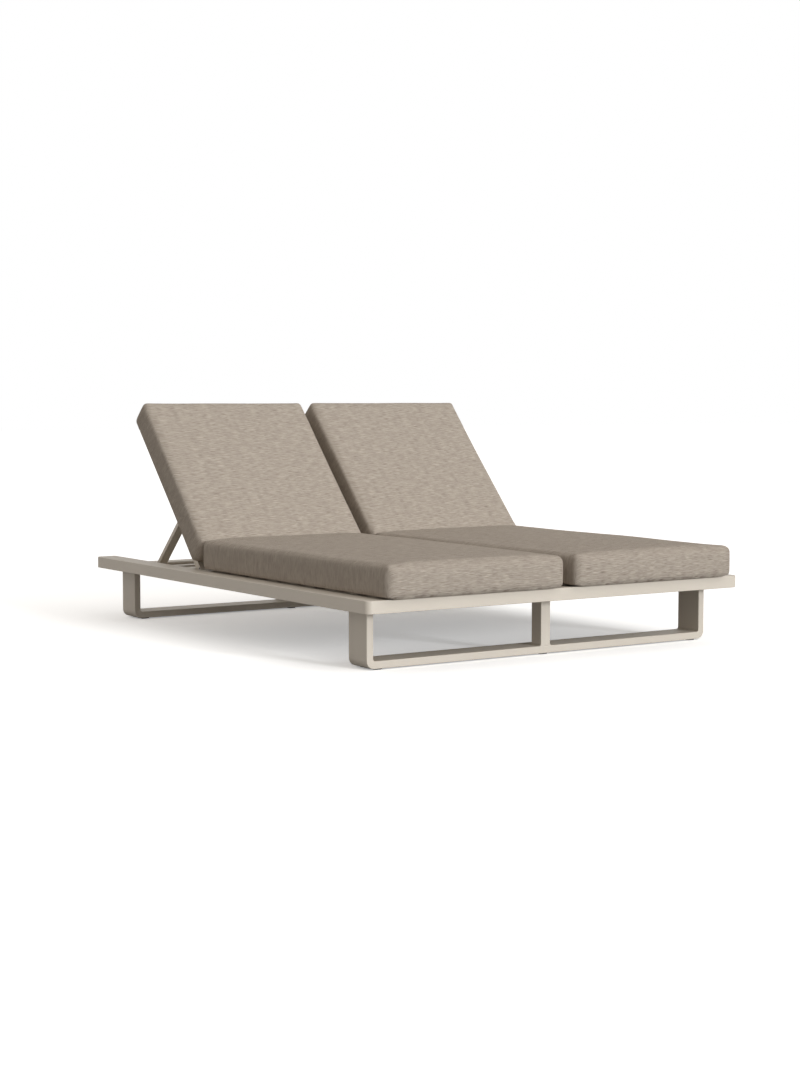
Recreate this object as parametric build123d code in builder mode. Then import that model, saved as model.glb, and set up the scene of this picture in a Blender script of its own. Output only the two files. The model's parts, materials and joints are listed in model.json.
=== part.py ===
from build123d import *
import math
import os

# Double chaise lounger: a slatted aluminium deck on two sled bases, two backrests that
# recline one by one on folding props, and four boxed cushions.
# Millimetres. +Z is up from the floor, +Y runs from the foot end to the head end and
# +X is the right-hand side for a person who stands at the foot end.

# Deck. Its length is that of the seat, to the hinge, and of the backrest when it lies flat.
deck_width = 1565.0
hinge_from_foot = 1281.3
back_end_gap = 18.7
rail_width = 83.0
rail_height = 42.5
rail_wall = 2.5
plan_corner_radius = 22.0
edge_radius = 2.0
end_casting_length = 26.0
centre_beam_width = 60.0
head_rail_width = 83.0
head_rail_setback = 5.0
bay_recess = 28.5
slat_width = 65.0
slat_wall = 2.0
seat_slat_height = 15.0
seat_slat_count = 9
first_slat_gap = 66.0
bay_slat_count = 4
bay_first_gap = 41.3
head_rail_gap = 105.5

# Sled bases
base_side_inset = 64.5
base_end_inset = 105.0
base_tube_depth = 109.0
base_tube_thickness = 25.0
base_height = 189.0
base_outer_radius = 28.0
base_inner_radius = 8.0
base_wall = 3.0
middle_upright_width = 39.0
middle_upright_depth = 53.5
glide_height = 4.0
glide_width = 30.0
glide_length = 95.0
glide_inset = 36.0
glide_corner_radius = 6.0
glide_screw_radius = 2.5
glide_screw_head_radius = 4.5
glide_screw_head_height = 1.8
glide_screw_recess = 2.4
glide_screw_length = 14.0
glide_screw_spacing = 60.0

# Backrests
recline_angle = 47.5
back_tube_depth = 28.0
back_side_tube_width = 30.0
back_bottom_tube_width = 40.0
back_top_tube_width = 30.0
back_tube_wall = 2.5
back_frame_length = 700.0
back_side_gap = 5.0
back_slat_thickness = 7.0
back_slat_width = 60.0
back_slat_count = 6
back_slat_wall = 1.5
back_slat_first = 95.0
back_slat_last_from_top = 75.0

# Hinge pins and their nylon end blocks
hinge_pin_radius = 6.0
hinge_running_clearance = 0.05
hinge_flange_radius = 12.0
hinge_flange_thickness = 3.0
hinge_pin_reach = 33.0
hinge_tail_length = 9.0
pin_hole_clearance = 0.1
end_block_length = 30.0
end_block_collar_radius = 10.0
side_play = 0.3

# Props
prop_pivot_share = 0.411
prop_pivot_drop = 3.0
prop_fold_gap = 105.1
prop_foot_below_deck = 15.5
prop_foot_rise = 1.0
prop_arm_width = 34.0
prop_arm_thickness = 15.0
prop_arm_gap = 3.5
prop_pin_radius = 5.0
prop_pin_collar_radius = 9.0
prop_pin_tail_length = 8.0
prop_pin_head_radius = 8.0
prop_pin_head_thickness = 2.5
foot_bar_radius = 5.0
cross_bar_radius = 7.0
cross_bar_from_pivot = 45.0

# Notched racks
rack_width = 12.0
rack_gap_to_arm = 5.0
rack_clearance = 0.5
rack_base_height = 2.4
rack_lead = 6.0
rack_end_gap = 4.0
notch_radius = 6.0
notch_steps = 4
rack_screw_radius = 2.0
rack_screw_head_radius = 4.0
rack_screw_head_height = 1.8
rack_screw_length = 10.0
rack_tab_length = 22.0

# Cushions
seat_cushion_thickness = 114.0
seat_cushion_crown = 7.0
seat_side_fall = 7.0
seat_front_overhang = 30.0
seat_front_bulge = 5.0
seat_rear_bulge = 2.0
back_cushion_overhang = 35.8
back_cushion_thickness = 116.0
back_cushion_crown = 5.0
back_cushion_from_hinge = 29.5
back_lower_bulge = 10.0
back_upper_bulge = 6.0
cushion_side_inset = 54.0
cushion_middle_gap = 37.0
cushion_meeting_gap = 0.8
cushion_corner_radius = 28.0
cushion_end_radius = 22.0
cushion_side_radius = 16.0
cushion_seat_edge_radius = 12.0
cushion_seat_front_radius = 34.0
cushion_seat_rear_radius = 24.0
cushion_back_edge_radius = 22.0
cushion_lower_rear_radius = 44.0
cushion_lower_front_radius = 36.0
cushion_side_bulge = 4.0
cushion_side_draw = 3.0
soft_clearance = 0.3

# A cut runs this far past the material that it opens.
overrun = 5.0
hole_clearance = 0.25


# Places that follow from the sizes above. The origin is on the floor under the middle of
# the whole part, and the seat cushions stand out past the foot end of the deck.
deck_length = hinge_from_foot + back_frame_length + back_end_gap
reach_past_foot = seat_front_overhang + seat_front_bulge
foot_y = (reach_past_foot - deck_length) / 2
head_y = foot_y + deck_length
side_x = deck_width / 2
rail_inner_x = side_x - rail_width
beam_side_x = centre_beam_width / 2
bay_width = rail_inner_x - beam_side_x
bay_middle_x = (rail_inner_x + beam_side_x) / 2
deck_bottom = glide_height + base_height
deck_top = deck_bottom + rail_height
bay_top = deck_top - bay_recess
bay_slat_height = rail_height - bay_recess
bar_top = glide_height + base_tube_thickness
upright_inner_x = side_x - base_side_inset - base_tube_thickness

hinge_y = foot_y + hinge_from_foot
hinge_z = deck_top - back_tube_depth / 2
frame_half_width = bay_width / 2 - back_side_gap
side_tube_inner = frame_half_width - back_side_tube_width
lean = math.radians(recline_angle)


def on_back(along, above, angle=recline_angle):
    """Y and Z of a point on a backrest: along it from the hinge, and above its tubes' middle."""
    turn = math.radians(angle)
    return (
        hinge_y + along * math.cos(turn) - above * math.sin(turn),
        hinge_z + along * math.sin(turn) + above * math.cos(turn),
    )


prop_pivot_reach = prop_pivot_share * back_frame_length
prop_length = back_frame_length - prop_pivot_reach - prop_fold_gap
pivot_y, pivot_z = on_back(prop_pivot_reach, -prop_pivot_drop)
foot_bar_z = deck_top - prop_foot_below_deck
prop_angle = math.degrees(math.asin((pivot_z - foot_bar_z) / prop_length))
flat_pivot_z = hinge_z - prop_pivot_drop
flat_prop_angle = -math.degrees(math.asin(prop_foot_rise / prop_length))
prop_ratio = -(prop_angle - flat_prop_angle + recline_angle) / recline_angle


def foot_place(angle):
    """Y and Z of the prop's foot bar when the backrest stands at this angle."""
    turned = (recline_angle - angle) * (prop_angle - flat_prop_angle) / recline_angle
    slope = math.radians(prop_angle - turned)
    y, z = on_back(prop_pivot_reach, -prop_pivot_drop, angle)
    return y + prop_length * math.cos(slope), z - prop_length * math.sin(slope)


notch_angles = [recline_angle * step / notch_steps for step in range(notch_steps, -1, -1)]
foot_places = [foot_place(angle) for angle in notch_angles]
swept_angles = [recline_angle * share / 100 for share in range(0, 101)]
lowest_foot = min(foot_place(angle)[1] for angle in swept_angles)
rack_top = lowest_foot - foot_bar_radius - rack_clearance

sides = (("left", -1), ("right", 1))
arm_outer_offset = side_tube_inner - prop_arm_gap
rack_offset = arm_outer_offset - prop_arm_width - rack_gap_to_arm - rack_width / 2

seat_slat_first_y = foot_y + rail_width + first_slat_gap + slat_width / 2
tube_sweep = math.hypot(back_bottom_tube_width, back_tube_depth) / 2
seat_slat_last_y = hinge_y - tube_sweep - back_side_gap - slat_width / 2
seat_slat_pitch = (seat_slat_last_y - seat_slat_first_y) / (seat_slat_count - 1)
seat_slat_places = [seat_slat_first_y + seat_slat_pitch * n for n in range(seat_slat_count)]

head_rail_y = head_y - head_rail_setback - head_rail_width / 2
beam_end_y = head_rail_y - head_rail_width / 2
bay_slat_first_y = hinge_y + tube_sweep + bay_first_gap + slat_width / 2
bay_slat_last_y = beam_end_y - head_rail_gap - slat_width / 2
bay_slat_pitch = (bay_slat_last_y - bay_slat_first_y) / (bay_slat_count - 1)
bay_slat_places = [bay_slat_first_y + bay_slat_pitch * n for n in range(bay_slat_count)]

# Each rack starts on the last slat that leaves room before the first notch.
rack_room = rack_tab_length / 2 + rack_lead + notch_radius
rack_slat_y = max(y for y in bay_slat_places if y + rack_room < foot_places[0][0])
rack_start_y = rack_slat_y - rack_tab_length / 2
rack_end_y = beam_end_y + rack_end_gap + rack_tab_length
rack_screw_places = [rack_slat_y, rack_end_y - rack_tab_length / 2]


def back_plane(x, along, above):
    """A plane on a backrest: X across, Y up along the back, Z out of its front."""
    y, z = on_back(along, above)
    return Plane(
        origin=(x, y, z),
        x_dir=(1, 0, 0),
        z_dir=(0, -math.sin(lean), math.cos(lean)),
    )


def across_plane(x, y, z):
    """A plane that faces +X, with its own X along the floor towards the head end."""
    return Plane(origin=(x, y, z), x_dir=(0, 1, 0), z_dir=(1, 0, 0))


def across_back(x, along, above):
    """A plane that faces +X, with its own X up along a backrest."""
    y, z = on_back(along, above)
    return Plane(origin=(x, y, z), x_dir=(0, math.cos(lean), math.sin(lean)), z_dir=(1, 0, 0))


def save(piece, name):
    piece.label = name
    export_step(piece, f"parts/{name}.step")


def box_tube(plane, width, height, length, wall, corner):
    """A straight box section that starts on a plane and runs along the plane's normal."""
    with BuildPart() as section:
        with BuildSketch(plane):
            RectangleRounded(width, height, corner)
            Rectangle(width - 2 * wall, height - 2 * wall, mode=Mode.SUBTRACT)
        extrude(amount=length)
    return section.part


def turned(plane, *steps):
    """A round piece along a plane's normal, made of steps of one radius and length each."""
    with BuildPart() as piece:
        reached = 0
        for radius, length in steps:
            with BuildSketch(plane.offset(reached)):
                Circle(radius)
            extrude(amount=length)
            reached += length
    return piece.part


os.makedirs("parts", exist_ok=True)


# Side rails: box sections between the corner castings at the foot and the end castings at
# the head. The hinge pins pass through holes in their inner walls.
for side, sign in sides:
    rail_x = sign * (side_x - rail_width / 2)
    with BuildPart() as side_rail:
        with BuildSketch(Plane.XZ.offset(-(foot_y + rail_width))):
            with Locations((rail_x, deck_top - rail_height / 2)):
                RectangleRounded(rail_width, rail_height, edge_radius)
                Rectangle(rail_width - 2 * rail_wall, rail_height - 2 * rail_wall, mode=Mode.SUBTRACT)
        extrude(amount=-(deck_length - rail_width - end_casting_length))
        with BuildSketch(across_plane(sign * rail_inner_x, hinge_y, hinge_z)):
            Circle(hinge_pin_radius + pin_hole_clearance)
        extrude(amount=rail_wall + overrun, both=True, mode=Mode.SUBTRACT)
    save(side_rail.part, f"side_rail_{side}")


# Foot rail: the box section across the foot end, between the two corner castings.
with BuildPart() as foot_rail:
    with BuildSketch(Plane.YZ.offset(-rail_inner_x)):
        with Locations((foot_y + rail_width / 2, deck_top - rail_height / 2)):
            RectangleRounded(rail_width, rail_height, edge_radius)
            Rectangle(rail_width - 2 * rail_wall, rail_height - 2 * rail_wall, mode=Mode.SUBTRACT)
    extrude(amount=2 * rail_inner_x)
save(foot_rail.part, "foot_rail")


# Corner castings at the foot end: a square block with one rounded outer corner.
for side, sign in sides:
    with BuildPart() as foot_corner:
        with BuildSketch(Plane.XY.offset(deck_bottom)):
            with Locations((sign * (side_x - rail_width / 2), foot_y + rail_width / 2)):
                Rectangle(rail_width, rail_width)
        extrude(amount=rail_height)
        outer_edge = foot_corner.edges().filter_by(Axis.Z).group_by(Axis.Y)[0]
        fillet(outer_edge.sort_by(Axis.X)[-1 if sign > 0 else 0], plan_corner_radius)
        rims = foot_corner.edges().filter_by(Axis.Z, reverse=True)
        rims = rims.filter_by(lambda e: abs(e.center().Y - foot_y - rail_width) > edge_radius)
        rims = rims.filter_by(lambda e: abs(abs(e.center().X) - rail_inner_x) > edge_radius)
        fillet(rims, edge_radius)
    save(foot_corner.part, f"foot_corner_{side}")


# End castings that close the side rails at the head end.
for side, sign in sides:
    with BuildPart() as rail_end:
        with BuildSketch(Plane.XY.offset(deck_bottom)):
            with Locations((sign * (side_x - rail_width / 2), head_y - end_casting_length / 2)):
                Rectangle(rail_width, end_casting_length)
        extrude(amount=rail_height)
        head_edges = rail_end.edges().filter_by(Axis.Z).group_by(Axis.Y)[-1].sort_by(Axis.X)
        fillet(head_edges[-1 if sign > 0 else 0], plan_corner_radius)
        fillet(head_edges[0 if sign > 0 else -1], edge_radius)
        rims = rail_end.edges().filter_by(Axis.Z, reverse=True)
        rims = rims.filter_by(lambda e: abs(e.center().Y - head_y + end_casting_length) > edge_radius / 2)
        fillet(rims, edge_radius)
    save(rail_end.part, f"rail_end_{side}")


# Centre beam: a box section along the middle of the deck, between the two seats.
with BuildPart() as centre_beam:
    with BuildSketch(Plane.XZ.offset(-(foot_y + rail_width))):
        with Locations((0, deck_top - rail_height / 2)):
            RectangleRounded(centre_beam_width, rail_height, edge_radius)
            Rectangle(
                centre_beam_width - 2 * rail_wall, rail_height - 2 * rail_wall, mode=Mode.SUBTRACT
            )
    extrude(amount=-(beam_end_y - end_casting_length - foot_y - rail_width))
    with BuildSketch(across_plane(0, hinge_y, hinge_z)):
        Circle(hinge_pin_radius + pin_hole_clearance)
    extrude(amount=centre_beam_width, both=True, mode=Mode.SUBTRACT)
save(centre_beam.part, "centre_beam")


# The end casting that closes the centre beam at its head end, against the head rail.
with BuildPart() as beam_end:
    with BuildSketch(Plane.XY.offset(deck_bottom)):
        with Locations((0, beam_end_y - end_casting_length / 2)):
            Rectangle(centre_beam_width, end_casting_length)
    extrude(amount=rail_height)
    rims = beam_end.edges().group_by(Axis.Y)[-1].filter_by(lambda e: e.center().Z > deck_bottom)
    fillet(rims + beam_end.edges().filter_by(Axis.Y), edge_radius)
save(beam_end.part, "beam_end")


def flat_slat(x, y, top, length, height, screw_holes=()):
    """One hollow cross slat, with its middle at x and y and its upper face at top."""
    with BuildPart() as slat:
        with BuildSketch(across_plane(x - length / 2, y, top - height / 2)):
            RectangleRounded(slat_width, height, edge_radius)
            Rectangle(slat_width - 2 * slat_wall, height - 2 * slat_wall, mode=Mode.SUBTRACT)
        extrude(amount=length)
        for hole_x, hole_y in screw_holes:
            if abs(hole_y - y) < slat_width / 2:
                with BuildSketch(Plane(origin=(hole_x, hole_y, top))):
                    Circle(rack_screw_radius + hole_clearance)
                extrude(amount=-(slat_wall + overrun), mode=Mode.SUBTRACT)
    return slat.part


# Head rail: a flat section across the head end, low enough for the backrests to fold down
# flush above it. It carries the head ends of the racks.
rack_xs = [sign * bay_middle_x + offset for side, sign in sides for offset in (-rack_offset, rack_offset)]
with BuildPart() as head_rail:
    with BuildSketch(across_plane(-rail_inner_x, head_rail_y, bay_top - bay_slat_height / 2)):
        RectangleRounded(head_rail_width, bay_slat_height, edge_radius)
        Rectangle(
            head_rail_width - 2 * slat_wall, bay_slat_height - 2 * slat_wall, mode=Mode.SUBTRACT
        )
    extrude(amount=2 * rail_inner_x)
    with BuildSketch(Plane.XY.offset(bay_top)):
        with Locations(*[(x, rack_screw_places[1]) for x in rack_xs]):
            Circle(rack_screw_radius + hole_clearance)
    extrude(amount=-(slat_wall + overrun), mode=Mode.SUBTRACT)
save(head_rail.part, "head_rail")


# Cross slats: one group under each seat cushion, flush with the rails, and one lower group
# in each bay under a backrest.
for side, sign in sides:
    middle = sign * bay_middle_x
    seat_slats = [flat_slat(middle, y, deck_top, bay_width, seat_slat_height) for y in seat_slat_places]
    save(Compound(children=seat_slats), f"seat_slats_{side}")
    holes = [(middle + offset, rack_screw_places[0]) for offset in (-rack_offset, rack_offset)]
    bay_slats = [flat_slat(middle, y, bay_top, bay_width, bay_slat_height, holes) for y in bay_slat_places]
    save(Compound(children=bay_slats), f"bay_slats_{side}")


# Sled bases: a flat tube on the floor, an upright at each side with a rounded lower corner,
# and a narrow upright in the middle that stands flush with the outer face of the flat tube.
bases = (("foot", foot_y + base_end_inset, 1), ("head", head_y - base_end_inset, -1))
toe = base_tube_thickness + base_inner_radius
base_outer_x = side_x - base_side_inset
glide_side_x = base_outer_x - glide_inset - glide_width / 2
for end, outer_y, inward in bases:
    middle_y = outer_y + inward * base_tube_depth / 2

    with BuildPart() as base_bar:
        with BuildSketch(across_plane(toe - base_outer_x, middle_y, bar_top - base_tube_thickness / 2)):
            RectangleRounded(base_tube_depth, base_tube_thickness, edge_radius)
            Rectangle(
                base_tube_depth - 2 * base_wall, base_tube_thickness - 2 * base_wall, mode=Mode.SUBTRACT
            )
        extrude(amount=2 * (base_outer_x - toe))
        with BuildSketch(Plane.XY.offset(glide_height)):
            for x in (-glide_side_x, 0, glide_side_x):
                with Locations((x, middle_y)):
                    with GridLocations(0, glide_screw_spacing, 1, 2):
                        Circle(glide_screw_radius + hole_clearance)
        extrude(amount=base_wall + overrun, mode=Mode.SUBTRACT)
    save(base_bar.part, f"{end}_base_bar")

    for side, sign in sides:
        with BuildPart() as upright:
            with BuildSketch(Plane.XZ.offset(-(middle_y - base_tube_depth / 2))):
                with BuildLine():
                    outer = sign * base_outer_x
                    Line((outer, deck_bottom), (outer, glide_height + base_outer_radius))
                    RadiusArc(
                        (outer, glide_height + base_outer_radius),
                        (outer - sign * base_outer_radius, glide_height),
                        sign * base_outer_radius,
                    )
                    Line(
                        (outer - sign * base_outer_radius, glide_height),
                        (outer - sign * toe, glide_height),
                    )
                    Line((outer - sign * toe, glide_height), (outer - sign * toe, bar_top))
                    RadiusArc(
                        (outer - sign * toe, bar_top),
                        (outer - sign * base_tube_thickness, bar_top + base_inner_radius),
                        -sign * base_inner_radius,
                    )
                    Line(
                        (outer - sign * base_tube_thickness, bar_top + base_inner_radius),
                        (outer - sign * base_tube_thickness, deck_bottom),
                    )
                    Line((outer - sign * base_tube_thickness, deck_bottom), (outer, deck_bottom))
                make_face()
            extrude(amount=-base_tube_depth)
            rims = upright.edges().filter_by(Axis.Y, reverse=True)
            rims = rims.filter_by(lambda e: e.center().Z < deck_bottom - edge_radius)
            rims = rims.filter_by(lambda e: abs(abs(e.center().X) - base_outer_x + toe) > edge_radius / 2)
            fillet(rims, edge_radius)
            with BuildSketch(Plane.XY.offset(deck_bottom)):
                with Locations((outer - sign * base_tube_thickness / 2, middle_y)):
                    Rectangle(base_tube_thickness - 2 * base_wall, base_tube_depth - 2 * base_wall)
            extrude(amount=-(base_height - base_outer_radius), mode=Mode.SUBTRACT)
        save(upright.part, f"{end}_base_upright_{side}")

    with BuildPart() as middle_upright:
        half = middle_upright_width / 2
        flare = base_inner_radius
        with BuildSketch(Plane.XZ.offset(-outer_y)):
            with BuildLine():
                Polyline(
                    (-half, bar_top + flare),
                    (-half, deck_bottom),
                    (half, deck_bottom),
                    (half, bar_top + flare),
                )
                RadiusArc((half, bar_top + flare), (half + flare, bar_top), -flare)
                Line((half + flare, bar_top), (-half - flare, bar_top))
                RadiusArc((-half - flare, bar_top), (-half, bar_top + flare), -flare)
            make_face()
        extrude(amount=-inward * middle_upright_depth)
        corners = middle_upright.edges().filter_by(Axis.Z)
        fillet(corners, edge_radius)
        with BuildSketch(Plane.XY.offset(deck_bottom)):
            with Locations((0, outer_y + inward * middle_upright_depth / 2)):
                Rectangle(middle_upright_width - 2 * base_wall, middle_upright_depth - 2 * base_wall)
        extrude(amount=-(deck_bottom - bar_top - flare), mode=Mode.SUBTRACT)
    save(middle_upright.part, f"{end}_base_middle_upright")


# Glides: thin plastic pads under the ends and the middle of each sled base, each held by
# two screws whose heads lie in recesses.
glides = []
glide_screws = []
for end, outer_y, inward in bases:
    for x in (-glide_side_x, 0, glide_side_x):
        glide_middle = (x, outer_y + inward * base_tube_depth / 2)
        with BuildPart() as glide:
            with BuildSketch():
                with Locations(glide_middle):
                    RectangleRounded(glide_width, glide_length, glide_corner_radius)
                    with GridLocations(0, glide_screw_spacing, 1, 2):
                        Circle(glide_screw_radius + hole_clearance, mode=Mode.SUBTRACT)
            extrude(amount=glide_height)
            with BuildSketch():
                with Locations(glide_middle):
                    with GridLocations(0, glide_screw_spacing, 1, 2):
                        Circle(glide_screw_head_radius + hole_clearance)
            extrude(amount=glide_screw_recess, mode=Mode.SUBTRACT)
        glides.append(glide.part)
        for along in (-glide_screw_spacing / 2, glide_screw_spacing / 2):
            foot = Plane(origin=(x, glide_middle[1] + along, glide_screw_recess - glide_screw_head_height))
            head = (glide_screw_head_radius, glide_screw_head_height)
            glide_screws.append(turned(foot, head, (glide_screw_radius, glide_screw_length)))
save(Compound(children=glides), "glides")
save(Compound(children=glide_screws), "glide_screws")


# Racks: two notched strips in each bay, screwed down to the bay slats and the head rail.
# The foot bar of the prop stands over a notch at each step of the recline.
rack_screw_shank = (rack_screw_radius, rack_screw_length)
rack_screw_head = (rack_screw_head_radius, rack_screw_head_height)
for side, sign in sides:
    strips = []
    rack_screws = []
    for offset in (-rack_offset, rack_offset):
        x = sign * bay_middle_x + offset
        with BuildPart() as strip:
            with BuildSketch(across_plane(x - rack_width / 2, 0, 0)):
                with BuildLine():
                    tab_top = bay_top + rack_base_height
                    Polyline(
                        (rack_start_y, bay_top),
                        (rack_end_y, bay_top),
                        (rack_end_y, tab_top),
                        (rack_end_y - rack_tab_length, tab_top),
                        (rack_end_y - rack_tab_length - rack_lead, rack_top),
                        (rack_start_y + rack_tab_length + rack_lead, rack_top),
                        (rack_start_y + rack_tab_length, tab_top),
                        (rack_start_y, tab_top),
                        close=True,
                    )
                make_face()
                with Locations(*[(y, tab_top + notch_radius) for y, z in foot_places]):
                    Circle(notch_radius, mode=Mode.SUBTRACT)
            extrude(amount=rack_width)
            with BuildSketch(Plane.XY.offset(tab_top)):
                with Locations(*[(x, y) for y in rack_screw_places]):
                    Circle(rack_screw_radius + hole_clearance)
            extrude(amount=-(rack_base_height + overrun), mode=Mode.SUBTRACT)
        strips.append(strip.part)
        for y in rack_screw_places:
            top = Plane(origin=(x, y, tab_top + rack_screw_head_height), z_dir=(0, 0, -1))
            rack_screws.append(turned(top, rack_screw_head, rack_screw_shank))
    save(Compound(children=strips), f"rack_strips_{side}")
    save(Compound(children=rack_screws), f"rack_screws_{side}")


# Hinge pins: one on the inner face of each side rail and one on each side of the centre
# beam. The tail is welded in the wall's hole, and the flange keeps the backrest in place.
hinge_tail = (hinge_pin_radius, hinge_tail_length)
hinge_flange = (hinge_flange_radius, hinge_flange_thickness)
hinge_shaft = (hinge_pin_radius, hinge_pin_reach - hinge_flange_thickness)
for side, sign in sides:
    pins = []
    for facing in (-1, 1):
        start_x = sign * bay_middle_x + facing * (bay_width / 2 + hinge_tail_length)
        start = Plane(origin=(start_x, hinge_y, hinge_z), z_dir=(-facing, 0, 0))
        pins.append(turned(start, hinge_tail, hinge_flange, hinge_shaft))
    save(Compound(children=pins), f"hinge_pins_{side}")


# Backrest frames: a welded rectangle of box tubes with flat slats across it. The upper
# corners are mitred, and the bottom tube runs the full width and turns on the hinge pins.
def mitre(side_of_frame, along):
    """The corner of a tube that a mitre takes away: outside the side tube, or below the top tube."""
    outer = side_of_frame * frame_half_width
    inner = side_of_frame * side_tube_inner
    low = back_frame_length - back_top_tube_width
    tip = (inner, back_frame_length) if along else (outer, low)
    return (outer, back_frame_length), tip, (inner, low)


for side, sign in sides:
    middle = sign * bay_middle_x
    rear_plane = back_plane(middle, 0, -back_tube_depth / 2)
    bottom_tube = box_tube(
        across_back(middle - frame_half_width, 0, 0),
        back_bottom_tube_width,
        back_tube_depth,
        2 * frame_half_width,
        back_tube_wall,
        edge_radius,
    )
    save(bottom_tube, f"back_bottom_tube_{side}")

    top_middle = back_frame_length - back_top_tube_width / 2
    with BuildPart() as top_tube:
        with BuildSketch(across_back(middle - frame_half_width, top_middle, 0)):
            RectangleRounded(back_top_tube_width, back_tube_depth, edge_radius)
            Rectangle(
                back_top_tube_width - 2 * back_tube_wall,
                back_tube_depth - 2 * back_tube_wall,
                mode=Mode.SUBTRACT,
            )
        extrude(amount=2 * frame_half_width)
        with BuildSketch(rear_plane):
            for facing in (-1, 1):
                with BuildLine():
                    Polyline(*mitre(facing, False), close=True)
                make_face()
        extrude(amount=back_tube_depth, mode=Mode.SUBTRACT)
    save(top_tube.part, f"back_top_tube_{side}")

    for place, facing in (("outer", sign), ("inner", -sign)):
        tube_x = middle + facing * (frame_half_width - back_side_tube_width / 2)
        start = across_back(tube_x, back_bottom_tube_width / 2, 0)
        with BuildPart() as side_tube:
            with BuildSketch(Plane(origin=start.origin, x_dir=(1, 0, 0), z_dir=start.x_dir)):
                RectangleRounded(back_side_tube_width, back_tube_depth, edge_radius)
                Rectangle(
                    back_side_tube_width - 2 * back_tube_wall,
                    back_tube_depth - 2 * back_tube_wall,
                    mode=Mode.SUBTRACT,
                )
            extrude(amount=back_frame_length - back_bottom_tube_width / 2)
            with BuildSketch(rear_plane):
                with BuildLine():
                    Polyline(*mitre(facing, True), close=True)
                make_face()
            extrude(amount=back_tube_depth, mode=Mode.SUBTRACT)
            with BuildSketch(across_plane(middle + facing * side_tube_inner, pivot_y, pivot_z)):
                Circle(prop_pin_radius + pin_hole_clearance)
            extrude(amount=back_tube_wall + pin_hole_clearance, both=True, mode=Mode.SUBTRACT)
        save(side_tube.part, f"back_side_tube_{place}_{side}")

    slats = []
    slat_span = back_frame_length - back_slat_last_from_top - back_slat_first
    slat_pitch = slat_span / (back_slat_count - 1)
    slat_above = (back_tube_depth - back_slat_thickness) / 2
    for n in range(back_slat_count):
        slat_middle = back_slat_first + n * slat_pitch
        slats.append(
            box_tube(
                across_back(middle - side_tube_inner, slat_middle, slat_above),
                back_slat_width,
                back_slat_thickness,
                2 * side_tube_inner,
                back_slat_wall,
                back_slat_wall,
            )
        )
    save(Compound(children=slats), f"back_slats_{side}")

    # Nylon blocks close the bottom tube's ends and turn on the hinge pins.
    blocks = []
    for facing in (-1, 1):
        tube_end = across_back(middle + facing * frame_half_width, 0, 0)
        with BuildPart() as end_block:
            with BuildSketch(tube_end):
                Rectangle(
                    back_bottom_tube_width - 2 * back_tube_wall, back_tube_depth - 2 * back_tube_wall
                )
                Circle(hinge_pin_radius + hinge_running_clearance, mode=Mode.SUBTRACT)
            extrude(amount=-facing * end_block_length)
            with BuildSketch(tube_end):
                Circle(end_block_collar_radius)
                Circle(hinge_pin_radius + hinge_running_clearance, mode=Mode.SUBTRACT)
            extrude(amount=facing * (back_side_gap - hinge_flange_thickness - side_play))
        blocks.append(end_block.part)
    save(Compound(children=blocks), f"hinge_blocks_{side}")

    # Pivot pins of the prop: welded in the side tubes, with a collar and a head beside the arm.
    pivot_pins = []
    collar_thickness = prop_arm_gap - side_play
    for facing in (-1, 1):
        pin_x = middle + facing * (side_tube_inner + prop_pin_tail_length)
        pivot_pins.append(
            turned(
                Plane(origin=(pin_x, pivot_y, pivot_z), z_dir=(-facing, 0, 0)),
                (prop_pin_radius, prop_pin_tail_length),
                (prop_pin_collar_radius, collar_thickness),
                (prop_pin_radius, prop_arm_width + 2 * side_play),
                (prop_pin_head_radius, prop_pin_head_thickness),
            )
        )
    save(Compound(children=pivot_pins), f"prop_pivot_pins_{side}")


# Props: two flat arms joined by a foot bar, which stands on the racks, and by a cross bar
# close to the pivots. They fold up behind the slats as the backrest goes down.
slope = math.radians(prop_angle)
for side, sign in sides:
    middle = sign * bay_middle_x
    for place, facing in (("outer", sign), ("inner", -sign)):
        arm_x = middle + facing * arm_outer_offset - (prop_arm_width if facing > 0 else 0)
        arm_plane = Plane(
            origin=(arm_x, pivot_y, pivot_z),
            x_dir=(0, math.cos(slope), -math.sin(slope)),
            z_dir=(1, 0, 0),
        )
        with BuildPart() as arm:
            with BuildSketch(arm_plane):
                with Locations((prop_length / 2, 0)):
                    SlotCenterToCenter(prop_length, prop_arm_thickness)
                Circle(prop_pin_radius + hinge_running_clearance, mode=Mode.SUBTRACT)
            extrude(amount=prop_arm_width)
        save(arm.part, f"prop_arm_{place}_{side}")

    between_arms = arm_outer_offset - prop_arm_width
    for name, from_pivot, radius in (
        ("prop_foot_bar", prop_length, foot_bar_radius),
        ("prop_cross_bar", cross_bar_from_pivot, cross_bar_radius),
    ):
        bar_y = pivot_y + from_pivot * math.cos(slope)
        bar_z = pivot_z - from_pivot * math.sin(slope)
        bar_start = across_plane(middle - between_arms, bar_y, bar_z)
        save(turned(bar_start, (radius, 2 * between_arms)), f"{name}_{side}")


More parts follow.
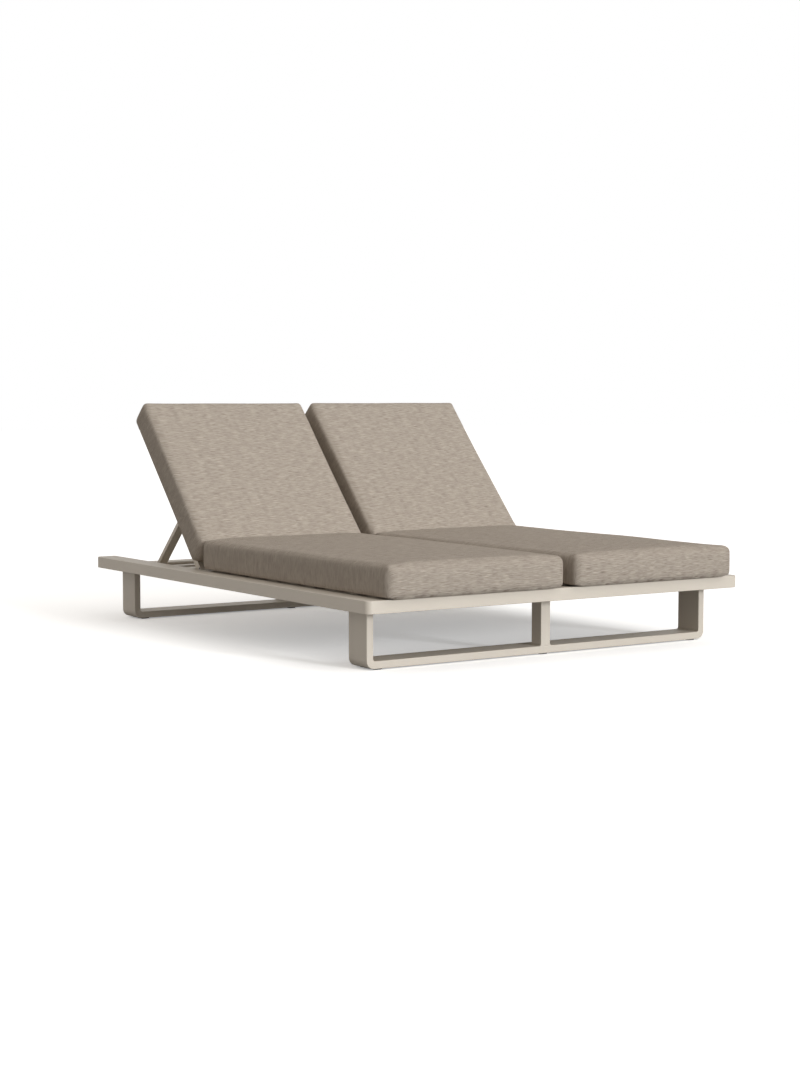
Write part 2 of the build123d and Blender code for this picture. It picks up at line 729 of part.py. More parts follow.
# Cushions: boxed foam in a sewn cover. Each is the space that its plan outline, its side
# profile and its cross profile share.
def cushion(base, outer, thickness, crown, fall, bulges, side_radii, cross_radii):
    """A cushion on a base plane: X across it, Y from its low end to its high end, Z its thickness.

    Outer is its width and length. Its top rises by the crown towards the middle and falls
    below the thickness at the sides. The bulges are those of the low and the high end. The
    side radii are those of the low bottom, high bottom, high top and low top edges, and the
    cross radii those of the bottom and the top edges.
    """
    width, length = outer
    low_bulge, high_bulge = bulges
    half = width / 2
    seam = half - cushion_side_bulge
    tall = thickness + crown
    low = -low_bulge
    high = length + high_bulge
    level = thickness / 2
    edge_height = thickness - fall
    with BuildPart() as soft:
        with BuildSketch(base) as plan:
            with BuildLine():
                Line((-half, low), (half, low))
                ThreePointArc((half, low), (half - cushion_side_draw, length / 2), (half, high))
                Line((half, high), (-half, high))
                ThreePointArc((-half, high), (cushion_side_draw - half, length / 2), (-half, low))
            make_face()
            fillet(plan.vertices(), cushion_corner_radius)
        extrude(amount=tall)
        side_plane = Plane(
            origin=base.origin - base.x_dir * half, x_dir=base.y_dir, z_dir=base.x_dir
        )
        with BuildSketch(side_plane) as profile:
            with BuildLine():
                Line((0, 0), (length, 0))
                ThreePointArc((length, 0), (high, level), (length, thickness))
                ThreePointArc((length, thickness), (length / 2, tall), (0, thickness))
                ThreePointArc((0, thickness), (low, level), (0, 0))
            make_face()
            corners = ((0, 0), (length, 0), (length, thickness), (0, thickness))
            for corner, radius in zip(corners, side_radii):
                fillet(profile.vertices().sort_by_distance(corner)[0], radius)
        extrude(amount=width, mode=Mode.INTERSECT)
        cross_plane = Plane(
            origin=base.origin + base.y_dir * low, x_dir=base.x_dir, z_dir=-base.y_dir
        )
        with BuildSketch(cross_plane) as section:
            with BuildLine():
                Line((-seam, 0), (seam, 0))
                ThreePointArc((seam, 0), (half, edge_height / 2), (seam, edge_height))
                ThreePointArc((seam, edge_height), (0, tall), (-seam, edge_height))
                ThreePointArc((-seam, edge_height), (-half, edge_height / 2), (-seam, 0))
            make_face()
            bottom_radius, top_radius = cross_radii
            for corner in ((-seam, 0), (seam, 0)):
                fillet(section.vertices().sort_by_distance(corner)[0], bottom_radius)
            for corner in ((-seam, edge_height), (seam, edge_height)):
                fillet(section.vertices().sort_by_distance(corner)[0], top_radius)
        extrude(amount=low - high, mode=Mode.INTERSECT)
    return soft.part


# The seat cushion ends where the rounded lower front edge of the back cushion reaches it.
level = back_cushion_thickness / 2
bulge_radius = (level**2 + back_lower_bulge**2) / (2 * back_lower_bulge)
edge_rise = level - cushion_lower_front_radius
edge_depth = math.sqrt((bulge_radius - cushion_lower_front_radius) ** 2 - edge_rise**2)
edge_along = back_cushion_from_hinge + bulge_radius - back_lower_bulge - edge_depth
edge_above = back_tube_depth / 2 + soft_clearance + level + edge_rise
meeting_y = on_back(edge_along, edge_above)[0] - cushion_lower_front_radius
seat_rear_y = meeting_y - cushion_meeting_gap - seat_rear_bulge
seat_cushion_length = seat_rear_y - foot_y + seat_front_overhang
back_cushion_length = back_frame_length + back_cushion_overhang - back_cushion_from_hinge

cushion_width = side_x - cushion_side_inset - cushion_middle_gap / 2
cushion_x = (side_x - cushion_side_inset + cushion_middle_gap / 2) / 2
for side, sign in sides:
    seat_base = Plane(
        origin=(sign * cushion_x, foot_y - seat_front_overhang, deck_top + soft_clearance)
    )
    seat_cushion = cushion(
        seat_base,
        (cushion_width, seat_cushion_length),
        seat_cushion_thickness,
        seat_cushion_crown,
        seat_side_fall,
        (seat_front_bulge, seat_rear_bulge),
        (
            cushion_seat_edge_radius,
            cushion_seat_rear_radius,
            cushion_seat_edge_radius,
            cushion_seat_front_radius,
        ),
        (cushion_seat_edge_radius, cushion_side_radius),
    )
    save(seat_cushion, f"seat_cushion_{side}")

    back_cushion = cushion(
        back_plane(sign * cushion_x, back_cushion_from_hinge, back_tube_depth / 2 + soft_clearance),
        (cushion_width, back_cushion_length),
        back_cushion_thickness,
        back_cushion_crown,
        0,
        (back_lower_bulge, back_upper_bulge),
        (
            cushion_lower_rear_radius,
            cushion_back_edge_radius,
            cushion_end_radius,
            cushion_lower_front_radius,
        ),
        (cushion_back_edge_radius, cushion_side_radius),
    )
    save(back_cushion, f"back_cushion_{side}")
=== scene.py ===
import bpy
import bmesh
import json
import math
from mathutils import Matrix, Vector, noise


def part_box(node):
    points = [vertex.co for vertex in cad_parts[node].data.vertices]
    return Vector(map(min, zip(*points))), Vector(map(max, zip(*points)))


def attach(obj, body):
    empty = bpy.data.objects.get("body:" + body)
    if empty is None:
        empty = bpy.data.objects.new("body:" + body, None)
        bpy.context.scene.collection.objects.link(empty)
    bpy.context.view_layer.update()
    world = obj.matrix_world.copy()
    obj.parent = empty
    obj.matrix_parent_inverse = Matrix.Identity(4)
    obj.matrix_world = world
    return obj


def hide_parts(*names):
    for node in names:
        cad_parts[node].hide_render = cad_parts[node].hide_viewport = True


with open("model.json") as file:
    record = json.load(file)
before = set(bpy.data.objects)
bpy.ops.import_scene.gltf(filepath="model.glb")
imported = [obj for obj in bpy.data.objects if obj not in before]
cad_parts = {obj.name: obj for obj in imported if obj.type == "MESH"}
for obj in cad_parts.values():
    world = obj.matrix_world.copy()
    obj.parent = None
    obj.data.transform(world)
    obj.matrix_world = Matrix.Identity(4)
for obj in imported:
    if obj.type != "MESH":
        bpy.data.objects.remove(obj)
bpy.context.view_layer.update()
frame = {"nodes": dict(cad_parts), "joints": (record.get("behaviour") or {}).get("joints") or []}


# ---- Sled bases ----
# Each base is a flat aluminium tube on the floor with an upright at each side, bent at the
# lower corners, and a narrow upright in the middle. The whole frame is welded, ground
# flush and powder-coated in one matt taupe.
coat_colour = (0.625, 0.562, 0.480)
coat_shade = (0.593, 0.529, 0.448)

# The coat's colour drifts in soft clouds with a fine speck over them. Its orange peel sets
# the gloss and the height.
cloud_scale = 5.0
speck_scale = 900.0
peel_scale = 260.0
gloss_range = (0.5, 0.62)
peel_height = 0.0004

coat_grain = bpy.data.node_groups.new("coat_grain", "ShaderNodeTree")
coat_grain.interface.new_socket("Colour", in_out="INPUT", socket_type="NodeSocketColor")
coat_grain.interface.new_socket("Shade", in_out="INPUT", socket_type="NodeSocketColor")
coat_grain.interface.new_socket("Colour", in_out="OUTPUT", socket_type="NodeSocketColor")
coat_grain.interface.new_socket("Roughness", in_out="OUTPUT", socket_type="NodeSocketFloat")
coat_grain.interface.new_socket("Height", in_out="OUTPUT", socket_type="NodeSocketFloat")
nodes, links = coat_grain.nodes, coat_grain.links
given = nodes.new("NodeGroupInput")
result = nodes.new("NodeGroupOutput")
place = nodes.new("ShaderNodeTexCoord")
cloud = nodes.new("ShaderNodeTexNoise")
cloud.inputs["Scale"].default_value = cloud_scale
cloud.inputs["Detail"].default_value = 3.0
speck = nodes.new("ShaderNodeTexNoise")
speck.inputs["Scale"].default_value = speck_scale
speck.inputs["Detail"].default_value = 2.0
peel = nodes.new("ShaderNodeTexNoise")
peel.inputs["Scale"].default_value = peel_scale
peel.inputs["Detail"].default_value = 1.0
for texture in (cloud, speck, peel):
    links.new(place.outputs["Object"], texture.inputs["Vector"])
half_cloud = nodes.new("ShaderNodeMath")
half_cloud.operation = "MULTIPLY"
half_cloud.inputs[1].default_value = 0.5
links.new(cloud.outputs["Fac"], half_cloud.inputs[0])
specked_cloud = nodes.new("ShaderNodeMath")
specked_cloud.operation = "MULTIPLY_ADD"
specked_cloud.inputs[1].default_value = 0.5
links.new(speck.outputs["Fac"], specked_cloud.inputs[0])
links.new(half_cloud.outputs[0], specked_cloud.inputs[2])
spread = nodes.new("ShaderNodeMapRange")
spread.inputs["From Min"].default_value = 0.35
spread.inputs["From Max"].default_value = 0.65
links.new(specked_cloud.outputs[0], spread.inputs["Value"])
blend = nodes.new("ShaderNodeMix")
blend.data_type = "RGBA"
links.new(spread.outputs["Result"], blend.inputs["Factor"])
links.new(given.outputs["Shade"], blend.inputs["A"])
links.new(given.outputs["Colour"], blend.inputs["B"])
links.new(blend.outputs["Result"], result.inputs["Colour"])
gloss = nodes.new("ShaderNodeMapRange")
gloss.inputs["To Min"].default_value = gloss_range[0]
gloss.inputs["To Max"].default_value = gloss_range[1]
links.new(peel.outputs["Fac"], gloss.inputs["Value"])
links.new(gloss.outputs["Result"], result.inputs["Roughness"])
links.new(peel.outputs["Fac"], result.inputs["Height"])


def grained_finish(name, colour, shade, bump):
    """A cast, moulded or coated surface whose colour, gloss and height follow the grain."""
    finish = bpy.data.materials.new(name)
    finish.use_nodes = True
    tree = finish.node_tree
    surface = tree.nodes["Principled BSDF"]
    grain = tree.nodes.new("ShaderNodeGroup")
    grain.node_tree = coat_grain
    grain.inputs["Colour"].default_value = (*colour, 1)
    grain.inputs["Shade"].default_value = (*shade, 1)
    relief = tree.nodes.new("ShaderNodeBump")
    relief.inputs["Strength"].default_value = bump
    relief.inputs["Distance"].default_value = peel_height
    tree.links.new(grain.outputs["Colour"], surface.inputs["Base Color"])
    tree.links.new(grain.outputs["Roughness"], surface.inputs["Roughness"])
    tree.links.new(grain.outputs["Height"], relief.inputs["Height"])
    tree.links.new(relief.outputs["Normal"], surface.inputs["Normal"])
    surface.inputs["Specular IOR Level"].default_value = 0.9
    return finish


def finish_nodes(finish, *names):
    """Gives CAD pieces their finish."""
    for name in names:
        for holder in frame["nodes"][name].material_slots:
            holder.material = finish


powder_coat = grained_finish("powder_coat", coat_colour, coat_shade, bump=0.35)
for end in ("foot", "head"):
    finish_nodes(
        powder_coat,
        f"{end}_base_bar",
        f"{end}_base_middle_upright",
        f"{end}_base_upright_left",
        f"{end}_base_upright_right",
    )


# ---- Glides ----
# Six thin pads of black plastic keep the bases off the floor. Two steel screws hold each
# one from below.
plastic_black = (0.03, 0.03, 0.028)
plastic_shade = (0.02, 0.02, 0.02)
glide_plastic = grained_finish("glide_plastic", plastic_black, plastic_shade, bump=0.5)
finish_nodes(glide_plastic, "glides")

# Bare steel, drawn along its length, which leaves fine scratches in its gloss.
steel_colour = (0.55, 0.55, 0.54)
screw_steel = bpy.data.materials.new("screw_steel")
screw_steel.use_nodes = True
tree = screw_steel.node_tree
surface = tree.nodes["Principled BSDF"]
surface.inputs["Base Color"].default_value = (*steel_colour, 1)
surface.inputs["Metallic"].default_value = 1.0
place = tree.nodes.new("ShaderNodeTexCoord")
stretch = tree.nodes.new("ShaderNodeMapping")
stretch.inputs["Scale"].default_value = (60.0, 1200.0, 1200.0)
scratches = tree.nodes.new("ShaderNodeTexNoise")
scratches.inputs["Scale"].default_value = 1.0
worn = tree.nodes.new("ShaderNodeMapRange")
worn.inputs["To Min"].default_value = 0.25
worn.inputs["To Max"].default_value = 0.45
tree.links.new(place.outputs["Object"], stretch.inputs["Vector"])
tree.links.new(stretch.outputs["Vector"], scratches.inputs["Vector"])
tree.links.new(scratches.outputs["Fac"], worn.inputs["Value"])
tree.links.new(worn.outputs["Result"], surface.inputs["Roughness"])
finish_nodes(screw_steel, "glide_screws")


# ---- Deck frame ----
# Box-section side rails and foot rail meet in rounded corner castings. A centre beam
# divides the deck, and a low flat rail closes the head end.
finish_nodes(
    powder_coat,
    "side_rail_left",
    "side_rail_right",
    "foot_rail",
    "foot_corner_left",
    "foot_corner_right",
    "rail_end_left",
    "rail_end_right",
    "centre_beam",
    "beam_end",
    "head_rail",
)


# ---- Slats ----
# Flat hollow slats are welded across each half: a flush row under the seat and a lower row
# in the bay behind it, where the backrest folds down.
for side in ("left", "right"):
    finish_nodes(powder_coat, f"seat_slats_{side}", f"bay_slats_{side}")


# ---- Racks ----
# Two notched strips in each bay carry the prop's foot bar. They have the frame's coat and
# are held by small steel screws.
for side in ("left", "right"):
    finish_nodes(powder_coat, f"rack_strips_{side}")
    finish_nodes(screw_steel, f"rack_screws_{side}")


# ---- Backrest frames ----
# Each backrest is a welded rectangle of box tubes with flat slats. Black nylon blocks in
# the bottom tube turn on steel pins in the rail and the centre beam.
nylon_black = (0.035, 0.035, 0.035)
block_nylon = grained_finish("block_nylon", nylon_black, plastic_shade, bump=0.4)
for side in ("left", "right"):
    finish_nodes(
        powder_coat,
        f"back_bottom_tube_{side}",
        f"back_top_tube_{side}",
        f"back_side_tube_outer_{side}",
        f"back_side_tube_inner_{side}",
        f"back_slats_{side}",
    )
    finish_nodes(block_nylon, f"hinge_blocks_{side}")
    finish_nodes(screw_steel, f"hinge_pins_{side}", f"prop_pivot_pins_{side}")


# ---- Props ----
# A pair of flat arms with two cross bars, coated like the frame. The lower bar rests on
# the racks and the upper one stiffens the pair.
for side in ("left", "right"):
    finish_nodes(
        powder_coat,
        f"prop_arm_outer_{side}",
        f"prop_arm_inner_{side}",
        f"prop_foot_bar_{side}",
        f"prop_cross_bar_{side}",
    )


# ---- Seat cushions ----
# Firm foam boxed in an outdoor fabric of thick and thin yarns, taupe with pale and brown
# flecks. The yarn runs across the seat and down its sides.
yarn_colour = (0.398, 0.340, 0.287)
yarn_pale = (0.66, 0.59, 0.50)
yarn_dark = (0.17, 0.135, 0.105)

slub_weave = bpy.data.node_groups.new("slub_weave", "ShaderNodeTree")
slub_weave.interface.new_socket("Place", in_out="INPUT", socket_type="NodeSocketVector")
slub_weave.interface.new_socket("Yarn", in_out="INPUT", socket_type="NodeSocketColor")
slub_weave.interface.new_socket("Pale", in_out="INPUT", socket_type="NodeSocketColor")
slub_weave.interface.new_socket("Dark", in_out="INPUT", socket_type="NodeSocketColor")
slub_weave.interface.new_socket("Colour", in_out="OUTPUT", socket_type="NodeSocketColor")
slub_weave.interface.new_socket("Height", in_out="OUTPUT", socket_type="NodeSocketFloat")
nodes, links = slub_weave.nodes, slub_weave.links
given = nodes.new("NodeGroupInput")
result = nodes.new("NodeGroupOutput")


def math_node(operation, first, second=None, third=None):
    """One arithmetic node of the weave, fed by sockets or numbers."""
    step = nodes.new("ShaderNodeMath")
    step.operation = operation
    for socket, value in zip(step.inputs, (first, second, third)):
        if value is None:
            continue
        if isinstance(value, (int, float)):
            socket.default_value = value
        else:
            links.new(value, socket)
    return step.outputs[0]


# The yarn follows X on the top and the ends, and Z on the two long sides, where its
# streaks are shorter. The sides take another slice of the noise than the top does.
side_starts = 0.72
side_shortening = 1.3
side_slice = 3.7
split = nodes.new("ShaderNodeSeparateXYZ")
links.new(given.outputs["Place"], split.inputs["Vector"])
facing = nodes.new("ShaderNodeTexCoord")
split_normal = nodes.new("ShaderNodeSeparateXYZ")
links.new(facing.outputs["Normal"], split_normal.inputs["Vector"])
sideways = math_node("ABSOLUTE", split_normal.outputs["X"])
on_side = math_node("GREATER_THAN", sideways, side_starts)
on_top = math_node("SUBTRACT", 1.0, on_side)
across_seat = math_node("MULTIPLY", split.outputs["X"], on_top)
shortened = math_node("MULTIPLY", split.outputs["Z"], side_shortening)
down_side = math_node("MULTIPLY", shortened, on_side)
along = math_node("ADD", across_seat, down_side)
wrapped = math_node("MULTIPLY_ADD", split.outputs["Z"], on_top, split.outputs["Y"])
thread = nodes.new("ShaderNodeCombineXYZ")
links.new(along, thread.inputs["X"])
links.new(wrapped, thread.inputs["Y"])
links.new(math_node("MULTIPLY", on_side, side_slice), thread.inputs["Z"])


def yarn_noise(length, width, detail):
    """Streaks of noise, that long along the yarn and that wide across it, in metres."""
    stretch = nodes.new("ShaderNodeMapping")
    stretch.inputs["Scale"].default_value = (1 / length, 1 / width, 1)
    streaks = nodes.new("ShaderNodeTexNoise")
    streaks.inputs["Scale"].default_value = 1.0
    streaks.inputs["Detail"].default_value = detail
    links.new(thread.outputs["Vector"], stretch.inputs["Vector"])
    links.new(stretch.outputs["Vector"], streaks.inputs["Vector"])
    return streaks.outputs["Fac"]


def between(value, low, high):
    """How far a value has come from low to high, held between 0 and 1."""
    span = nodes.new("ShaderNodeMapRange")
    span.inputs["From Min"].default_value = low
    span.inputs["From Max"].default_value = high
    links.new(value, span.inputs["Value"])
    return span.outputs["Result"]


# Pale flecks come from the thick slubs and dark ones from the fine yarn between them. Both
# are fainter on the sides. A broad mottle makes patches of the yarn a little paler.
pale_strength = 0.66
dark_strength = 0.70
mottle_strength = 0.22
side_calm = 0.4

slub = yarn_noise(length=0.041, width=0.0021, detail=2.0)
fine_slub = yarn_noise(length=0.030, width=0.0014, detail=1.0)
mottle = yarn_noise(length=0.05, width=0.022, detail=3.0)
calm = math_node("MULTIPLY_ADD", on_side, -side_calm, 1.0)
thick_yarn = math_node("MULTIPLY", between(slub, low=0.55, high=0.69), pale_strength)
thin_yarn = math_node("MULTIPLY", between(fine_slub, low=0.50, high=0.29), dark_strength)
pale_fleck = math_node("MULTIPLY", thick_yarn, calm)
dark_fleck = math_node("MULTIPLY", thin_yarn, calm)
tone = between(mottle, low=0.3, high=0.7)

warm = nodes.new("ShaderNodeMix")
warm.data_type = "RGBA"
links.new(math_node("MULTIPLY", tone, mottle_strength), warm.inputs["Factor"])
links.new(given.outputs["Yarn"], warm.inputs["A"])
links.new(given.outputs["Pale"], warm.inputs["B"])
flecked = nodes.new("ShaderNodeMix")
flecked.data_type = "RGBA"
links.new(dark_fleck, flecked.inputs["Factor"])
links.new(warm.outputs["Result"], flecked.inputs["A"])
links.new(given.outputs["Dark"], flecked.inputs["B"])
woven = nodes.new("ShaderNodeMix")
woven.data_type = "RGBA"
links.new(pale_fleck, woven.inputs["Factor"])
links.new(flecked.outputs["Result"], woven.inputs["A"])
links.new(given.outputs["Pale"], woven.inputs["B"])
links.new(woven.outputs["Result"], result.inputs["Colour"])

# Warp and weft cross every 1.3 mm, and the thick slubs stand a little proud.
thread_pitch = 0.0013
slub_rise = 1.4
half_wave = math.pi / thread_pitch
weft = math_node("ABSOLUTE", math_node("SINE", math_node("MULTIPLY", wrapped, half_wave)))
warp = math_node("ABSOLUTE", math_node("SINE", math_node("MULTIPLY", along, half_wave)))
crossings = math_node("MULTIPLY", weft, warp)
cloth_height = math_node("MULTIPLY_ADD", slub, slub_rise, crossings)
links.new(cloth_height, result.inputs["Height"])


def cushion_fabric(name, origin, tilt):
    """The cushion's cover, its weave laid out from a point and tilted with the backrest."""
    cover = bpy.data.materials.new(name)
    cover.use_nodes = True
    tree = cover.node_tree
    surface = tree.nodes["Principled BSDF"]
    surface.inputs["Roughness"].default_value = 0.9
    surface.inputs["Specular IOR Level"].default_value = 0.08
    surface.inputs["Sheen Weight"].default_value = 0.02
    surface.inputs["Sheen Roughness"].default_value = 0.5
    place = tree.nodes.new("ShaderNodeTexCoord")
    lay = tree.nodes.new("ShaderNodeMapping")
    lay.vector_type = "TEXTURE"
    lay.inputs["Location"].default_value = origin
    lay.inputs["Rotation"].default_value = (tilt, 0, 0)
    weave = tree.nodes.new("ShaderNodeGroup")
    weave.node_tree = slub_weave
    weave.inputs["Yarn"].default_value = (*yarn_colour, 1)
    weave.inputs["Pale"].default_value = (*yarn_pale, 1)
    weave.inputs["Dark"].default_value = (*yarn_dark, 1)
    relief = tree.nodes.new("ShaderNodeBump")
    relief.inputs["Strength"].default_value = 0.6
    relief.inputs["Distance"].default_value = 0.0006
    tree.links.new(place.outputs["Object"], lay.inputs["Vector"])
    tree.links.new(lay.outputs["Vector"], weave.inputs["Place"])
    tree.links.new(weave.outputs["Colour"], surface.inputs["Base Color"])
    tree.links.new(weave.outputs["Height"], relief.inputs["Height"])
    tree.links.new(relief.outputs["Normal"], surface.inputs["Normal"])
    return cover


# The skin's squares, how often its steps are eased, and the low lumps of its filling.
voxel = 0.008
easing_rounds = 3
lump_height = 0.003
lumps_per_metre = 3.5

# How far the faces may swell and draw in, and how far the upper and lower edges may draw
# in. A lower edge is one that faces further down than this.
swell = 0.003
draw_in = 0.001
top_draw_in = 0.004
foot_draw_in = 0.008
foot_faces = -0.1

# The underside's rim stands off the frame along both sides, and a ramp joins it to the rest.
rim_lift = 0.006
rim_width = 0.028
rim_ramp = 0.010

# The cover rests where it is this close to the frame and faces this squarely down.
resting_height = 0.002
facing_down = -0.95
blow_up_frames = 20


def even_skin(block):
    """Turns a block into a closed skin of even squares, one voxel wide."""
    remesh = block.modifiers.new("even_skin", "REMESH")
    remesh.mode = "VOXEL"
    remesh.voxel_size = voxel
    ease_skin(block)


def ease_skin(block):
    """Takes the steps out of a block's skin."""
    smooth = block.modifiers.new("eased_skin", "SMOOTH")
    smooth.factor = 0.5
    smooth.iterations = easing_rounds
    bpy.context.view_layer.update()
    seen = block.evaluated_get(bpy.context.evaluated_depsgraph_get())
    skin = bpy.data.meshes.new_from_object(seen)
    block.modifiers.clear()
    block.data = skin


def plump_cushion(name, node, origin, tilt, uneven):
    """The cover over a CAD cushion, blown up by its foam: flat below and full elsewhere.

    It is made lying flat, with its base plane through the origin point, and then turned
    back to the cushion's tilt. Firm foam keeps the faces near their cut shape and lets
    the edges draw in. The uneven number sets how its filling differs from the others.
    """
    lie = Matrix.Rotation(-tilt, 4, "X") @ Matrix.Translation(-Vector(origin))
    mesh = frame["nodes"][node].data.copy()
    mesh.transform(lie)
    cover = bpy.data.objects.new(name, mesh)
    bpy.context.scene.collection.objects.link(cover)
    even_skin(cover)
    skin = cover.data
    base = min(v.co.z for v in skin.vertices)
    start = []
    for v in skin.vertices:
        free = 0.0 if v.co.z < base + resting_height else 1.0
        spot = Vector((v.co.x * lumps_per_metre, v.co.y * lumps_per_metre, uneven))
        start.append(v.co + v.normal * (lump_height * noise.noise(spot)) * free)
    for v, place in zip(skin.vertices, start):
        v.co = place

    held = cover.vertex_groups.new(name="resting")
    resting = [v.index for v in skin.vertices if v.normal.z < facing_down]
    held.add(resting, 1.0, "REPLACE")
    cloth = cover.modifiers.new("cover", "CLOTH")
    cloth.settings.quality = 5
    cloth.settings.mass = 0.4
    cloth.settings.tension_stiffness = 18
    cloth.settings.compression_stiffness = 12
    cloth.settings.shear_stiffness = 6
    cloth.settings.bending_stiffness = 1.2
    cloth.settings.use_pressure = True
    cloth.settings.uniform_pressure_force = 4.0
    cloth.settings.vertex_group_mass = "resting"
    cloth.settings.effector_weights.gravity = 0
    cloth.point_cache.frame_end = blow_up_frames
    for step in range(1, blow_up_frames + 1):
        bpy.context.scene.frame_set(step)
    seen = cover.evaluated_get(bpy.context.evaluated_depsgraph_get())
    blown = [v.co.copy() for v in seen.data.vertices]
    cover.modifiers.clear()
    bpy.context.scene.frame_set(1)
    facing = [v.normal.copy() for v in skin.vertices]
    for v, place, full, outward in zip(skin.vertices, start, blown, facing):
        rounded = 1 - max(abs(part) for part in outward)
        edge_draw_in = foot_draw_in if outward.z < foot_faces else top_draw_in
        inward = draw_in + rounded * edge_draw_in
        move = min(max((full - place).dot(outward), -inward), swell)
        v.co = place + outward * move
    ease_skin(cover)
    skin = cover.data
    left = min(v.co.x for v in skin.vertices)
    right = max(v.co.x for v in skin.vertices)
    for v in skin.vertices:
        from_side = min(v.co.x - left, right - v.co.x)
        lifted = min(max((rim_width + rim_ramp - from_side) / rim_ramp, 0.0), 1.0)
        v.co.z = max(v.co.z, base + rim_lift * lifted)
    skin.transform(lie.inverted())
    skin.update()
    for face in skin.polygons:
        face.use_smooth = True
    finer = cover.modifiers.new("finer_skin", "SUBSURF")
    finer.levels = 1
    finer.render_levels = 1
    return cover


seat_origin = (0.0, 0.0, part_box("seat_cushion_right")[0][2])
seat_fabric = cushion_fabric("seat_cushion_fabric", seat_origin, tilt=0.0)
for side, uneven in (("left", 2.3), ("right", 7.9)):
    node = f"seat_cushion_{side}"
    cushion = plump_cushion(f"seat_cover_{side}", node, seat_origin, 0.0, uneven)
    cushion.data.materials.clear()
    cushion.data.materials.append(seat_fabric)
    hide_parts(node)
    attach(cushion, "frame")


# ---- Back cushions ----
# The same boxed foam and fabric on each backrest, a little thicker than the seat and
# rounded at its lower edge, where it tips against the seat.
recline = math.radians(47.5)
hinge = next(j for j in frame["joints"] if j["name"] == "backrest_left_hinge")
hinge_y, hinge_z = hinge["pos_m"][1:]
rear_face = 0.0143
back_origin = (
    0.0,
    hinge_y - rear_face * math.sin(recline),
    hinge_z + rear_face * math.cos(recline),
)
back_fabric = cushion_fabric("back_cushion_fabric", back_origin, recline)
for side, uneven in (("left", 4.1), ("right", 11.6)):
    node = f"back_cushion_{side}"
    cushion = plump_cushion(f"back_cover_{side}", node, back_origin, recline, uneven)
    cushion.data.materials.clear()
    cushion.data.materials.append(back_fabric)
    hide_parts(node)
    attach(cushion, f"backrest_{side}")


# ---- Floor and light ----
# A plain white studio floor that goes on past the view, under an even pale surround. A low
# soft light stands in front of the foot end, and a higher one to its right helps the
# surround to draw the shadow under the deck.
floor_reach = 40.0
floor_mesh = bpy.data.meshes.new("floor")
sheet = bmesh.new()
bmesh.ops.create_grid(sheet, x_segments=1, y_segments=1, size=floor_reach)
sheet.to_mesh(floor_mesh)
sheet.free()
floor = bpy.data.objects.new("floor", floor_mesh)
bpy.context.scene.collection.objects.link(floor)

# To the camera and in reflections the floor is bright enough to be white outside the
# shadow. The light that it throws back on the deck is that of a grey floor.
floor_seen = 1.25
floor_as_light = 0.32
floor_glow = 0.30
floor_white = bpy.data.materials.new("floor_white")
floor_white.use_nodes = True
tree = floor_white.node_tree
tree.nodes.clear()
rays = tree.nodes.new("ShaderNodeLightPath")
seen = tree.nodes.new("ShaderNodeMath")
seen.operation = "MAXIMUM"
tree.links.new(rays.outputs["Is Camera Ray"], seen.inputs[0])
tree.links.new(rays.outputs["Is Glossy Ray"], seen.inputs[1])
shade = tree.nodes.new("ShaderNodeMix")
shade.data_type = "RGBA"
shade.inputs["A"].default_value = (floor_as_light, floor_as_light, floor_as_light, 1)
shade.inputs["B"].default_value = (floor_seen, floor_seen, floor_seen, 1)
tree.links.new(seen.outputs[0], shade.inputs["Factor"])
paint = tree.nodes.new("ShaderNodeBsdfDiffuse")
tree.links.new(shade.outputs["Result"], paint.inputs["Color"])
glow = tree.nodes.new("ShaderNodeEmission")
glow.inputs["Color"].default_value = (1, 1, 1, 1)
dim = tree.nodes.new("ShaderNodeMath")
dim.operation = "MULTIPLY"
dim.inputs[1].default_value = floor_glow
tree.links.new(rays.outputs["Is Camera Ray"], dim.inputs[0])
tree.links.new(dim.outputs[0], glow.inputs["Strength"])
total = tree.nodes.new("ShaderNodeAddShader")
tree.links.new(paint.outputs["BSDF"], total.inputs[0])
tree.links.new(glow.outputs["Emission"], total.inputs[1])
out = tree.nodes.new("ShaderNodeOutputMaterial")
tree.links.new(total.outputs["Shader"], out.inputs["Surface"])
floor_mesh.materials.append(floor_white)

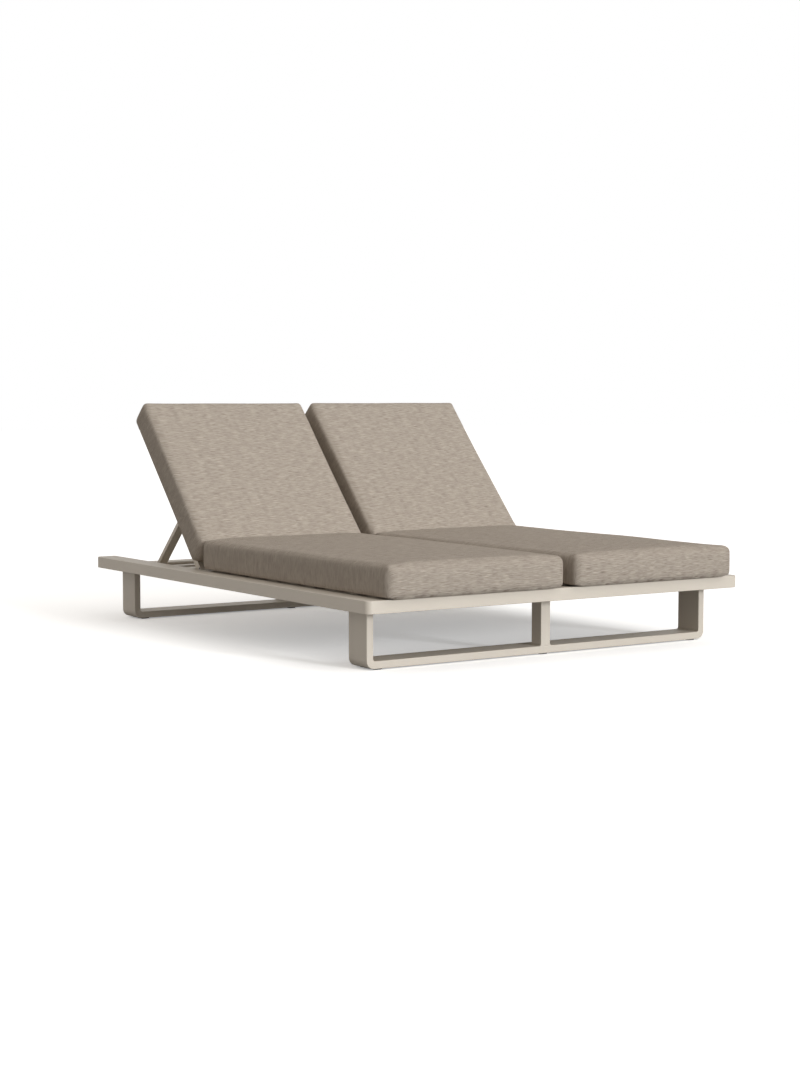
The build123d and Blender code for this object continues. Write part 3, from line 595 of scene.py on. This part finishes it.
# The surround is warm and dim as light, and plain white where it is seen or mirrored.
surround_colour = (1.0, 0.96, 0.91)
surround_strength = 0.53
studio = bpy.data.worlds.new("studio")
bpy.context.scene.world = studio
studio.use_nodes = True
tree = studio.node_tree
tree.nodes.clear()
rays = tree.nodes.new("ShaderNodeLightPath")
mirrored = tree.nodes.new("ShaderNodeMath")
mirrored.operation = "MAXIMUM"
tree.links.new(rays.outputs["Is Glossy Ray"], mirrored.inputs[0])
tree.links.new(rays.outputs["Is Transmission Ray"], mirrored.inputs[1])
seen = tree.nodes.new("ShaderNodeMath")
seen.operation = "MAXIMUM"
tree.links.new(rays.outputs["Is Camera Ray"], seen.inputs[0])
tree.links.new(mirrored.outputs[0], seen.inputs[1])
ambient = tree.nodes.new("ShaderNodeBackground")
ambient.inputs["Color"].default_value = (*surround_colour, 1)
ambient.inputs["Strength"].default_value = surround_strength
white = tree.nodes.new("ShaderNodeBackground")
white.inputs["Color"].default_value = (1, 1, 1, 1)
white.inputs["Strength"].default_value = 1.0
choose = tree.nodes.new("ShaderNodeMixShader")
tree.links.new(seen.outputs[0], choose.inputs["Fac"])
tree.links.new(ambient.outputs["Background"], choose.inputs[1])
tree.links.new(white.outputs["Background"], choose.inputs[2])
out = tree.nodes.new("ShaderNodeOutputWorld")
tree.links.new(choose.outputs["Shader"], out.inputs["Surface"])


lamp_distance = 6.0


def far_lamp(name, rise, turn, spread, power, colour):
    """A large far lamp, with its height and its turn right of the foot end in degrees."""
    lamp = bpy.data.lights.new(name, "SUN")
    lamp.angle = math.radians(spread)
    lamp.energy = power
    lamp.color = colour
    holder = bpy.data.objects.new(name, lamp)
    rise, turn = math.radians(rise), math.radians(turn)
    level = math.cos(rise)
    towards = Vector((math.sin(turn) * level, -math.cos(turn) * level, math.sin(rise)))
    holder.rotation_euler = towards.to_track_quat("Z", "Y").to_euler()
    holder.location = towards * lamp_distance
    bpy.context.scene.collection.objects.link(holder)


cool_white = (0.95, 0.98, 1.0)
near_white = (0.98, 0.99, 1.0)
far_lamp("low_lamp", rise=11, turn=12, spread=13, power=2.0, colour=cool_white)
far_lamp("high_lamp", rise=45, turn=27, spread=40, power=0.46, colour=near_white)


# ---- Camera ----
# It stands low, off the left corner of the foot end, and looks at the lounger through a
# long lens. Its place was fitted to the edges in the photograph.
view_yaw = math.radians(33.64)
view_pitch = math.radians(4.11)
lens = bpy.data.cameras.new("photo_view")
lens.sensor_width = 36.0
lens.lens = 63.71
viewer = bpy.data.objects.new("photo_view", lens)
viewer.location = (-3.9231, -5.8845, 0.8651)
viewer.rotation_euler = (math.pi / 2 - view_pitch, 0.0, -view_yaw)
bpy.context.scene.collection.objects.link(viewer)
bpy.context.scene.camera = viewer
bpy.context.scene.view_settings.view_transform = "Standard"
